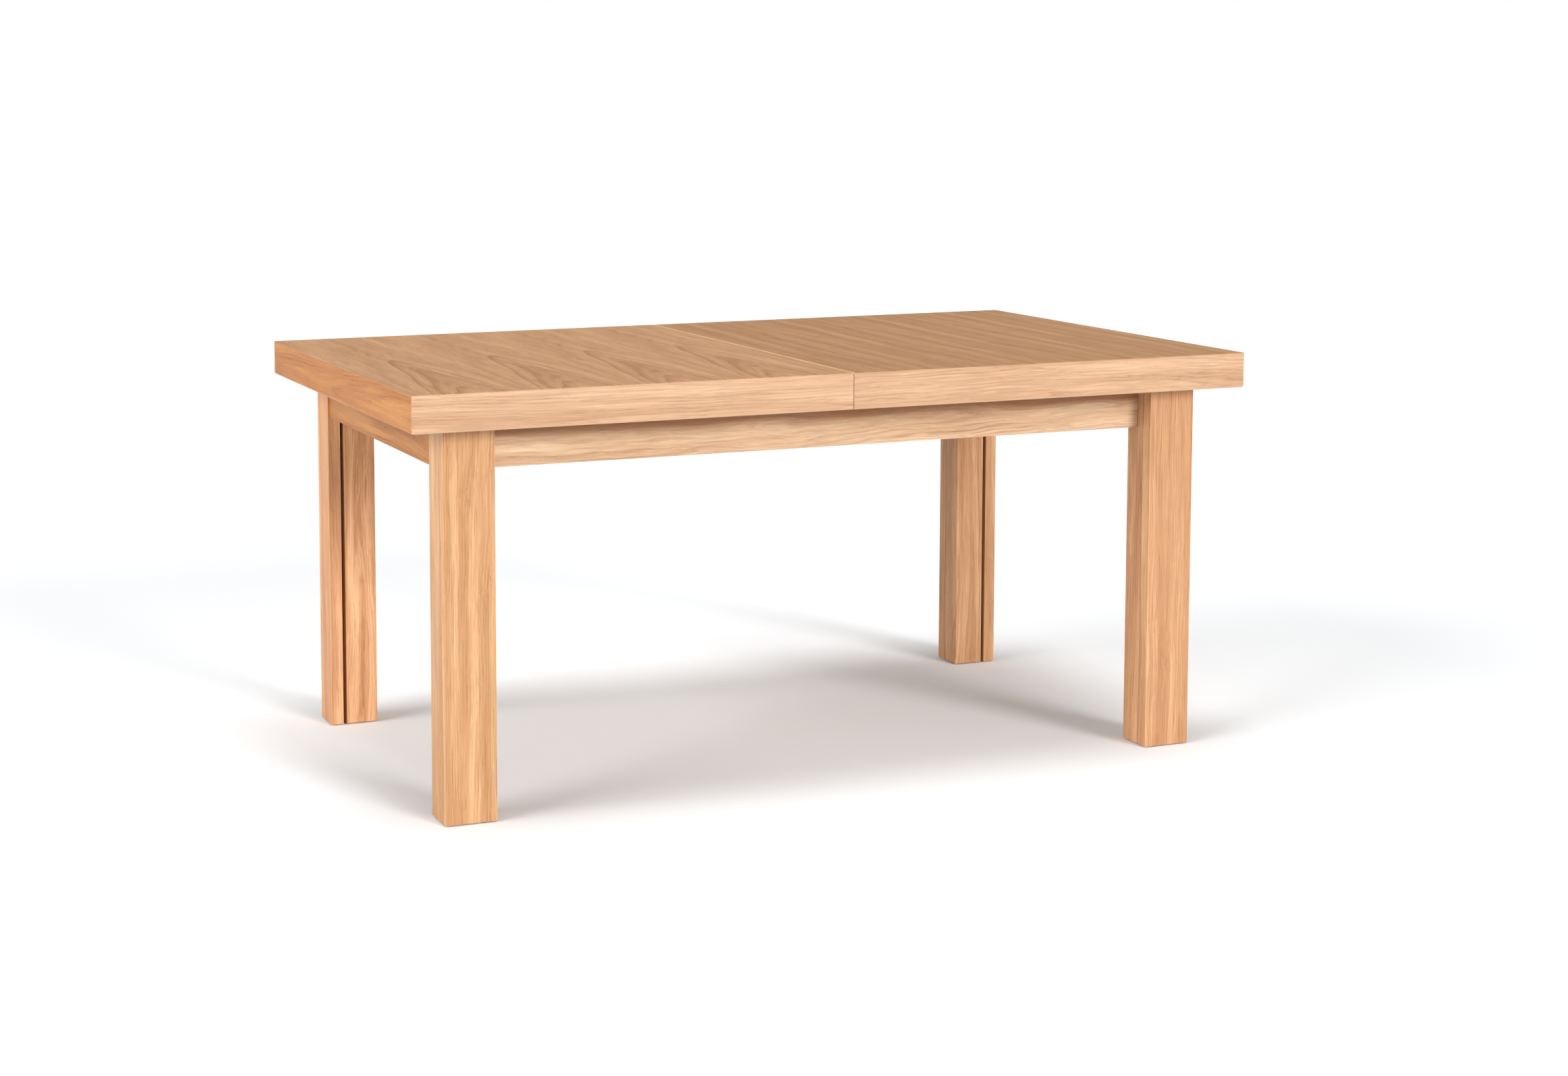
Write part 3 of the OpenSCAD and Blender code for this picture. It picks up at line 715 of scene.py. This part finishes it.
@dataclass(frozen=True)
class FeltFinish(Finish):
    """Pressed felt, with tangled fibres and a soft sheen."""

    name: str = "pressed_felt"
    base: Colour = (0.055, 0.048, 0.042)
    tangle: Triple = (2600.0, 2600.0, 1800.0)
    relief: float = 0.0004
    slot: str = "felt"

    def build(self) -> bpy.types.Material:
        """Builds the felt."""
        felt = Recipe(self.name)
        tangle = felt.noise(felt.place(), self.tangle, 4.0, 0.7)
        tone = felt.blend(felt.band(tangle, 0.3, 0.7), self.base, shade(self.base, 2.4))
        felt.feed(felt.shader.inputs["Base Color"], tone)
        felt.feed(felt.shader.inputs["Roughness"], felt.band(tangle, 0.2, 0.8, 0.85, 1.0))
        felt.shader.inputs["Sheen Weight"].default_value = 0.35
        felt.relief(tangle, self.relief, 0.8)
        return felt.material


RIM_OAK = OakFinish("rim_oak", Grain.ALONG_EDGE, (0.59, 0.366, 0.22), heart=(-0.05, -0.07),
                    taper=0.012, pitch=0.0046, waver=0.008, figure=0.36, bands=0.38, streak=0.75,
                    lines=0.36)
END_OAK = OakFinish("end_oak", Grain.ACROSS_EDGE, (0.50, 0.208, 0.062), heart=(-0.012, -0.045),
                    taper=0.03, pitch=0.0050, waver=0.009, figure=0.7, bands=0.5, streak=0.8)
END_APRON_OAK = replace(END_OAK, name="end_apron_oak", base=(0.45, 0.192, 0.058))
LEG_OAK = OakFinish("leg_oak", Grain.UPRIGHT, (0.65, 0.376, 0.19), heart=(0.11, -0.07),
                    taper=0.010, pitch=0.0042, waver=0.010, figure=0.66, bands=0.75, streak=1.0,
                    lines=0.8, mottle=0.4)
POST_OAK = replace(LEG_OAK, name="post_oak", heart=(0.004, -0.03), taper=0.028, pitch=0.0048,
                   waver=0.012, figure=0.70, bands=0.75)
# The apron's darker band along its upper edge is partly heartwood and partly painted shade,
# standing in for the shadow that the top's overhang casts on it.
APRON_OAK = OakFinish("apron_oak", Grain.ALONG_EDGE, (0.645, 0.43, 0.265), heart=(-0.012, -0.03),
                      taper=0.022, pitch=0.0056, waver=0.015, figure=0.78, bands=0.5,
                      streak=0.55, heartwood=(-0.011, 0.007, 0.85))
VENEER_OAK = OakFinish("veneer_oak", Grain.ACROSS, (0.525, 0.294, 0.148), heart=(-0.006, -0.05),
                       taper=0.065, pitch=0.0050, waver=0.007, figure=0.34, bands=0.3,
                       streak=0.6, lines=0.55, sheet=0.19, band_rate=0.15, line_rate=11.0,
                       arch=(0.10, 0.0125, 0.6), rough=0.5, slot="oak_veneer")
STRAIGHT_VENEER = replace(VENEER_OAK, name="straight_veneer", base=(0.452, 0.246, 0.118),
                          heart=(0.11, -0.06), taper=0.02, figure=0.36, bands=0.42, sheet=0.20,
                          band_rate=0.25, arch=(0.0, 0.0, 0.0))
CORE_OAK = OakFinish("core_oak", Grain.ACROSS, (0.46, 0.28, 0.16), figure=0.3, bands=0.3,
                     slot="oak_panel")
LIPPING_OAK = OakFinish("lipping_oak", Grain.ACROSS, (0.76, 0.53, 0.27), figure=0.1, bands=0.15,
                        streak=0.3, pores=0.2, slot="oak_veneer")
BEECH = BeechFinish("beech_across", Grain.ACROSS, (0.66, 0.42, 0.24), (0.36, 0.19, 0.09))
BEECH_ALONG = replace(BEECH, name="beech_along", grain=Grain.ALONG)
STEEL = MetalFinish("bright_steel", (0.56, 0.56, 0.58), 0.34, (40.0, 900.0, 900.0), "steel")
ZINC = MetalFinish("zinc_plate", (0.62, 0.64, 0.68), 0.40, (12.0, 700.0, 700.0), "zinc")
BRASS = MetalFinish("cast_brass", (0.66, 0.46, 0.19), 0.32, (500.0, 500.0, 500.0), "brass")
NYLON = NylonFinish()
FELT = FeltFinish()

END_TONES: dict[Side, Triple] = {Side.LEFT: UNCHANGED, Side.RIGHT: (1.06, 1.28, 1.9)}
# Each leg's boards scaled in colour. The back-right leg's darkening is painted shade, standing in
# for the shadow that the top and the other legs cast on it under the table; the front-right leg is
# made a little darker and the back-left one lighter.
LEG_TONES_AND_SHADE: dict[tuple[Face, Side], Triple] = {
    (Face.FRONT, Side.RIGHT): (0.97, 0.93, 0.95),
    (Face.BACK, Side.LEFT): (1.10, 1.04, 1.06),
    (Face.BACK, Side.RIGHT): (0.89, 0.86, 0.89),
}


def leg_oak(oak: OakFinish, face: Face, side: Side) -> OakFinish:
    """A leg's oak scaled in colour for that one leg; the back-right leg's darker oak is painted
    shade.
    """
    return replace(oak, base=tint(oak.base, LEG_TONES_AND_SHADE.get((face, side), UNCHANGED)))


@dataclass(frozen=True)
class Plane:
    """A saw cut: what lies beyond it is waste."""

    spot: Triple
    out: Triple


def body_of(node: str) -> str:
    """The body that a CAD node belongs to."""
    return frame["nodes"][node]["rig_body"]


def settle(work: bmesh.types.BMesh, name: str, finish: Finish, body: str,
           stands_for: Iterable[str] = ()) -> bpy.types.Object:
    """Turns a finished bmesh into a piece of the table.

    Args:
        work: The piece's mesh, which is freed.
        name: The piece's name.
        finish: Its finish.
        body: The body that it rides on.
        stands_for: The CAD nodes that it hides.

    Returns:
        The piece.
    """
    mesh = bpy.data.meshes.new(name)
    work.to_mesh(mesh)
    work.free()
    piece = bpy.data.objects.new(name, mesh)
    bpy.context.scene.collection.objects.link(piece)
    mesh.materials.append(finish.material())
    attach(piece, body)
    nodes = list(stands_for)
    if nodes:
        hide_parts(*nodes)
    log.info("%s: %d faces on %s", name, len(mesh.polygons), body)
    return piece


def mark_wear(work: bmesh.types.BMesh, faces: Iterable[bmesh.types.BMFace],
              worn: float = 1.0) -> None:
    """Marks eased faces for the finishes.

    Args:
        work: The mesh.
        faces: Its eased faces.
        worn: How much hands and cloths have lightened them.
    """
    layer = work.faces.layers.float.get("wear") or work.faces.layers.float.new("wear")
    for face in faces:
        if face.is_valid:
            face[layer] = worn


def slab(low: Vector, high: Vector) -> bmesh.types.BMesh:
    """A rectangular blank between two corners."""
    work = bmesh.new()
    bmesh.ops.create_cube(work, size=1.0)
    bmesh.ops.scale(work, vec=high - low, verts=work.verts)
    bmesh.ops.translate(work, vec=(low + high) / 2, verts=work.verts)
    return work


def saw(work: bmesh.types.BMesh, cut: Plane) -> None:
    """Saws off what lies beyond a plane, and closes the cut.

    Args:
        work: The mesh.
        cut: The saw's plane.
    """
    made = bmesh.ops.bisect_plane(
        work, geom=[*work.verts, *work.edges, *work.faces], dist=SAW_SLACK, plane_co=cut.spot,
        plane_no=cut.out, clear_outer=True)
    rim = [item for item in made["geom_cut"] if isinstance(item, bmesh.types.BMEdge)]
    if rim:
        bmesh.ops.contextual_create(work, geom=rim)


def ease(work: bmesh.types.BMesh, width: float, joints: Sequence[Triple] = (),
         segments: int = 2, worn: float = 1.0) -> None:
    """Eases a mesh's sharp edges, apart from those of its glued faces.

    Args:
        work: The mesh.
        width: How wide each eased edge is.
        joints: The outward directions of the faces that are glued to another piece.
        segments: The faces across each eased edge.
        worn: How much the eased edges have lightened.
    """
    work.normal_update()
    glued = [Vector(way).normalized() for way in joints]

    def is_glued(face: bmesh.types.BMFace) -> bool:
        """Whether a face is one of the glued ones."""
        return any(face.normal.dot(way) > SAME_WAY for way in glued)

    edges = [edge for edge in work.edges if len(edge.link_faces) == 2
             and edge.calc_face_angle(0.0) > SHARP
             and not any(is_glued(face) for face in edge.link_faces)]
    made = bmesh.ops.bevel(work, geom=edges, offset=width, offset_type="OFFSET",
                           segments=segments, profile=0.5, affect="EDGES", material=-1,
                           clamp_overlap=True)
    mark_wear(work, made["faces"], worn)


@dataclass
class Board:
    """One planed board in place of its plain solid."""

    node: str
    finish: OakFinish
    easing: float = 0.0012
    cuts: tuple[Plane, ...] = ()
    chamfers: tuple[Plane, ...] = ()
    joints: tuple[Triple, ...] = ()
    worn: float = 1.0
    trim_low: Triple = (0.0, 0.0, 0.0)
    trim_high: Triple = (0.0, 0.0, 0.0)

    def make(self) -> bpy.types.Object:
        """Saws, chamfers and eases the board."""
        low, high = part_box(self.node)
        work = slab(low + Vector(self.trim_low), high - Vector(self.trim_high))
        for cut in self.cuts:
            saw(work, cut)
        work.normal_update()
        for cut in self.chamfers:
            saw(work, cut)
            work.normal_update()
            way = Vector(cut.out).normalized()
            mark_wear(work, [face for face in work.faces if face.normal.dot(way) > SAME_WAY])
        ease(work, self.easing, self.joints, worn=self.worn)
        return settle(work, f"{self.node}_board", self.finish.fitted(self.node),
                      body_of(self.node), [self.node])


@dataclass
class Fitting:
    """A CAD solid kept in shape, with its edges broken and its own finish."""

    node: str
    finish: Finish
    easing: float = 0.0004

    def make(self) -> bpy.types.Object:
        """Copies the solid, welds it, and breaks its sharp edges."""
        work = bmesh.new()
        work.from_mesh(frame["nodes"][self.node].data)
        bmesh.ops.remove_doubles(work, verts=work.verts, dist=WELD)
        bmesh.ops.dissolve_limit(work, angle_limit=FLAT, verts=work.verts, edges=work.edges)
        bmesh.ops.recalc_face_normals(work, faces=work.faces)
        ease(work, self.easing, segments=1)
        return settle(work, f"{self.node}_fitting", self.finish, body_of(self.node), [self.node])


def dress(node: str, finish: Finish) -> None:
    """Gives a CAD node its finish and leaves its shape alone.

    Args:
        node: The CAD node.
        finish: Its finish.
    """
    mesh = frame["nodes"][node].data
    mesh.materials.clear()
    mesh.materials.append(finish.material())
    log.info("%s: dressed in %s", node, finish.name)


@dataclass
class Glides:
    """Round felt pads under a set of feet."""

    node: str
    radius: float
    round_over: float = 0.0007
    sides: int = 40

    def spots(self) -> list[Vector]:
        """The middle of each pad, from the CAD node's own loose discs."""
        work = bmesh.new()
        work.from_mesh(frame["nodes"][self.node].data)
        bmesh.ops.remove_doubles(work, verts=work.verts, dist=WELD)
        left = set(work.verts)
        found = []
        while left:
            island, queue = [], [left.pop()]
            while queue:
                vert = queue.pop()
                island.append(vert.co.copy())
                for edge in vert.link_edges:
                    other = edge.other_vert(vert)
                    if other in left:
                        left.discard(other)
                        queue.append(other)
            xs, ys = [p.x for p in island], [p.y for p in island]
            found.append(Vector(((min(xs) + max(xs)) / 2, (min(ys) + max(ys)) / 2, 0)))
        work.free()
        return sorted(found, key=lambda p: (p.x, p.y))

    def make(self) -> bpy.types.Object:
        """Makes every pad as one piece."""
        low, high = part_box(self.node)
        work = bmesh.new()
        for spot in self.spots():
            pad = bmesh.ops.create_cone(work, cap_ends=True, segments=self.sides,
                                        radius1=self.radius, radius2=self.radius,
                                        depth=high.z - low.z)
            bmesh.ops.translate(work, verts=pad["verts"],
                                vec=(spot.x, spot.y, (low.z + high.z) / 2))
        rims = [edge for edge in work.edges if edge.calc_face_angle(0.0) > PAD_RIM]
        bmesh.ops.bevel(work, geom=rims, offset=self.round_over, offset_type="OFFSET", segments=3,
                        profile=0.5, affect="EDGES", material=-1, clamp_overlap=True)
        return settle(work, f"{self.node}_pads", FELT, body_of(self.node), [self.node])


@dataclass
class FixedFrame:
    """The posts, aprons, rails and channels that stay put, and the pinion on its axle."""

    easing: float = 0.001
    post_wear: float = 0.2
    glide_radius: float = 0.018

    def build(self) -> None:
        """Makes the whole fixed frame."""
        for face in Face:
            for side in Side:
                Board(f"post_{face.word}_{side.word}", leg_oak(POST_OAK, face, side),
                      self.easing, worn=self.post_wear).make()
            Board(f"apron_{face.word}", APRON_OAK, self.easing).make()
        Glides("post_glides", self.glide_radius).make()
        dress("end_cross_rails", LEG_OAK.fitted("end_cross_rails", Grain.ACROSS))
        for node in ("leaf_bearers", "centre_rail", "frame_dowels"):
            dress(node, BEECH)
        Fitting("guide_channels", ZINC, easing=0.0003).make()
        dress("frame_screws", STEEL)
        dress("rack_guides", NYLON)
        Fitting("gear_axle", STEEL, easing=0.0005).make()
        Fitting("pinion", NYLON, easing=0.0002).make()


@dataclass
class SpareLeaf:
    """The leaf that lies under the tops."""

    easing: float = 0.001
    veneer_easing: float = 0.0003
    sheet: float = 0.125

    def build(self) -> None:
        """Makes the leaf's boards and veneer."""
        veneer = replace(VENEER_OAK, grain=Grain.ALONG, sheet=self.sheet)
        Board("leaf_veneer", veneer, self.veneer_easing, joints=((0, 0, -1),)).make()
        Board("leaf_panel", replace(CORE_OAK, grain=Grain.ALONG), self.easing,
              joints=((0, 0, 1), (1, 0, 0), (-1, 0, 0))).make()
        dress("leaf_edge_boards", RIM_OAK.fitted("leaf_edge_boards", Grain.ACROSS_EDGE))
        dress("leaf_pins", BEECH)


@dataclass
class HalfTop:
    """One half of the table top, with its end apron, leg shells and runners."""

    side: Side
    easing: float = 0.0011
    veneer_easing: float = 0.0004
    corner: float = 0.0012
    under_chamfer: float = 0.0026
    lipping: float = 0.0013
    glide_radius: float = 0.009

    def build(self) -> None:
        """Makes everything that rides on this half."""
        self.top()
        self.edge_boards()
        self.legs()
        self.inner_works()

    def name(self, stem: str) -> str:
        """A node's name on this side."""
        return f"{stem}_{self.side.word}"

    def end_oak(self, oak: OakFinish) -> OakFinish:
        """The oak of an end board in this half's tone."""
        return replace(oak, base=tint(oak.base, END_TONES[self.side]))

    def arris(self, outer_x: float, outer_y: float, face: Face) -> Plane:
        """The narrow flat along a mitred corner.

        Args:
            outer_x: The corner's place along the table.
            outer_y: The corner's place across it.
            face: The long side that the corner is on.

        Returns:
            The flat's plane.
        """
        way = self.side.value
        return Plane((outer_x - way * self.corner, outer_y, 0), (way, face.value, 0))

    def top(self) -> None:
        """Makes the veneer, the panel under it and the lipping along the seam."""
        way = self.side.value
        trims = (0.0, 0.0, 0.0), (self.lipping, 0.0, 0.0)
        low_trim, high_trim = trims if self.side is Side.LEFT else trims[::-1]
        veneer = VENEER_OAK if self.side is Side.LEFT else STRAIGHT_VENEER
        Board(self.name("top_veneer"), veneer, self.veneer_easing,
              joints=((0, 0, -1), (-way, 0, 0)), trim_low=low_trim, trim_high=high_trim).make()
        low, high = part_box(self.name("top_veneer"))
        if self.side is Side.LEFT:
            low = Vector((high.x - self.lipping, low.y, low.z))
        else:
            high = Vector((low.x + self.lipping, high.y, high.z))
        strip = slab(low, high)
        ease(strip, self.veneer_easing, ((0, 0, -1), (way, 0, 0)))
        settle(strip, self.name("seam_lipping"), LIPPING_OAK.fitted(self.name("top_veneer")),
               body_of(self.name("top_veneer")))
        dress(self.name("top_panel"), CORE_OAK.fitted(self.name("top_panel"), Grain.ALONG))

    def edge_boards(self) -> None:
        """Makes the mitred edge boards."""
        way = self.side.value
        low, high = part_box(self.name("edge_board_end"))
        outer_x = high.x if way > 0 else low.x
        base = low.z
        for face in Face:
            outer_y = face.value * high.y
            mitre = (way, -face.value, 0)
            arris = self.arris(outer_x, outer_y, face)
            under = Plane((0, outer_y - face.value * self.under_chamfer, base),
                          (0, face.value, -1))
            Board(self.name(f"edge_board_{face.word}"), RIM_OAK, self.easing,
                  cuts=(Plane((outer_x, outer_y, 0), mitre),), chamfers=(arris, under),
                  joints=(mitre, (0, 0, 1), (0, -face.value, 0), (-way, 0, 0), arris.out,
                          under.out)).make()
        cuts, chamfers, joints = [], [], [(0, 0, 1), (-way, 0, 0)]
        for face in Face:
            outer_y = face.value * high.y
            cuts.append(Plane((outer_x, outer_y, 0), (-way, face.value, 0)))
            chamfers.append(self.arris(outer_x, outer_y, face))
            joints += [cuts[-1].out, chamfers[-1].out]
        chamfers.append(Plane((outer_x - way * self.under_chamfer, 0, base), (way, 0, -1)))
        joints.append(chamfers[-1].out)
        Board(self.name("edge_board_end"), self.end_oak(END_OAK), self.easing, tuple(cuts),
              tuple(chamfers), tuple(joints)).make()

    def legs(self) -> None:
        """Makes the mitred leg shells, the end apron, the plates and the glides."""
        way = self.side.value
        side_oak = replace(LEG_OAK, name="leg_side_oak", grain=Grain.UPRIGHT_SIDE)
        for face in Face:
            low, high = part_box(self.name(f"shell_side_{face.word}"))
            outer_x = high.x if way > 0 else low.x
            outer_y = high.y if face is Face.BACK else low.y
            arris = self.arris(outer_x, outer_y, face)
            boards = {"face": (LEG_OAK, (way, -face.value, 0)),
                      "side": (side_oak, (-way, face.value, 0))}
            for part, (oak, mitre) in boards.items():
                Board(self.name(f"shell_{part}_{face.word}"), leg_oak(oak, face, self.side),
                      self.easing, cuts=(Plane((outer_x, outer_y, 0), mitre),),
                      chamfers=(arris,), joints=(mitre, arris.out)).make()
        Board(self.name("end_apron"), self.end_oak(END_APRON_OAK), self.easing,
              joints=((0, 1, 0), (0, -1, 0))).make()
        Glides(self.name("shell_glides"), self.glide_radius).make()
        dress(self.name("shell_plates"), STEEL)
        dress(self.name("end_dowels"), BEECH)

    def inner_works(self) -> None:
        """Dresses the runners, slide bars, rack and screws."""
        dress(self.name("runners"), BEECH_ALONG)
        Fitting(self.name("slide_bars"), ZINC, easing=0.0003).make()
        Fitting(self.name("rack"), STEEL, easing=0.0002).make()
        dress(self.name("screws"), STEEL)
        if self.side is Side.RIGHT:
            dress("alignment_pins", BEECH_ALONG)


@dataclass
class Catches:
    """The levers, studs, plates and keepers that hold the halves shut."""

    easing: float = 0.0005

    def build(self) -> None:
        """Makes every brass piece of the catches."""
        for node in ("catch_plates", "catch_keepers", "catch_lever_front", "catch_lever_back"):
            Fitting(node, BRASS, self.easing).make()


@dataclass(frozen=True)
class Lamp:
    """One distant soft light, by the way that it stands from the table."""

    name: str
    azimuth: float
    elevation: float
    spread: float
    power: float

    def hang(self) -> None:
        """Adds the light to the scene."""
        sun = bpy.data.lights.new(self.name, "SUN")
        sun.energy = self.power
        sun.angle = math.radians(self.spread)
        turn, rise = math.radians(self.azimuth), math.radians(self.elevation)
        way = Vector((math.sin(turn) * math.cos(rise), -math.cos(turn) * math.cos(rise),
                      math.sin(rise)))
        lamp = bpy.data.objects.new(self.name, sun)
        lamp.rotation_euler = way.to_track_quat("Z", "Y").to_euler()
        bpy.context.scene.collection.objects.link(lamp)


@dataclass
class Studio:
    """A pale floor, soft lights and the camera."""

    eye: Triple = (-2.013, -4.387, 1.272)
    pitch: float = -5.515
    yaw: float = 20.55
    roll: float = -0.28
    lens: float = 58.78
    sensor: float = 36.0
    shift: tuple[float, float] = (0.1411, -0.1440)
    clip: tuple[float, float] = (0.05, 120.0)
    floor_reach: float = 40.0
    paper: tuple[Colour, Colour] = ((0.905, 0.92, 0.93), (0.92, 0.935, 0.945))
    white: tuple[float, float, float, float] = (1.0, 1.0, 1.0, 1.0)
    surround: float = 0.3
    lamps: tuple[Lamp, ...] = (
        Lamp("key_light", 18.0, 18.0, 20.0, 2.3),
        Lamp("side_light", -78.0, 22.0, 38.0, 2.4),
        Lamp("top_light", 0.0, 88.0, 25.0, 1.35),
    )

    def build(self) -> None:
        """Makes the floor, the lights and the camera."""
        self.floor()
        for lamp in self.lamps:
            lamp.hang()
        self.world()
        self.camera()

    def floor(self) -> None:
        """A large plain sheet under the table."""
        work = bmesh.new()
        bmesh.ops.create_grid(work, x_segments=2, y_segments=2, size=self.floor_reach)
        mesh = bpy.data.meshes.new("floor")
        work.to_mesh(mesh)
        work.free()
        sheet = bpy.data.objects.new("floor", mesh)
        bpy.context.scene.collection.objects.link(sheet)
        paper = Recipe("pale_floor")
        haze = paper.noise(paper.place(), (0.6, 0.6, 0.6), 2.0)
        paper.feed(paper.shader.inputs["Base Color"], paper.blend(haze, *self.paper))
        paper.feed(paper.shader.inputs["Roughness"], paper.band(haze, 0.0, 1.0, 0.9, 1.0))
        paper.shader.inputs["Specular IOR Level"].default_value = 0.1
        mesh.materials.append(paper.material)

    def world(self) -> None:
        """A dim even surround that lights the table, seen as plain white."""
        world = bpy.data.worlds.new("white_surround")
        world.use_nodes = True
        tree = world.node_tree
        glow = tree.nodes["Background"]
        glow.inputs["Color"].default_value = self.white
        glow.inputs["Strength"].default_value = self.surround
        white = tree.nodes.new("ShaderNodeBackground")
        white.inputs["Color"].default_value = self.white
        path = tree.nodes.new("ShaderNodeLightPath")
        pick = tree.nodes.new("ShaderNodeMixShader")
        tree.links.new(path.outputs["Is Camera Ray"], pick.inputs[0])
        tree.links.new(glow.outputs[0], pick.inputs[1])
        tree.links.new(white.outputs[0], pick.inputs[2])
        tree.links.new(pick.outputs[0], tree.nodes["World Output"].inputs[0])
        bpy.context.scene.world = world
        bpy.context.scene.view_settings.view_transform = "Standard"
        bpy.context.scene.view_settings.look = "None"

    def camera(self) -> None:
        """A camera in front, to the left and a little above the top."""
        lens = bpy.data.cameras.new("camera")
        lens.sensor_width = self.sensor
        lens.lens = self.lens
        lens.shift_x, lens.shift_y = self.shift
        lens.clip_start, lens.clip_end = self.clip
        turn = (Matrix.Rotation(math.radians(-self.yaw), 4, "Z")
                @ Matrix.Rotation(math.radians(90 + self.pitch), 4, "X")
                @ Matrix.Rotation(math.radians(self.roll), 4, "Z"))
        eye = bpy.data.objects.new("camera", lens)
        eye.matrix_world = Matrix.Translation(self.eye) @ turn
        bpy.context.scene.collection.objects.link(eye)
        bpy.context.scene.camera = eye


def main() -> None:
    """Builds the table and the studio."""
    Studio().build()
    FixedFrame().build()
    SpareLeaf().build()
    for side in Side:
        HalfTop(side).build()
    Catches().build()


if __name__ == "__main__":
    main()
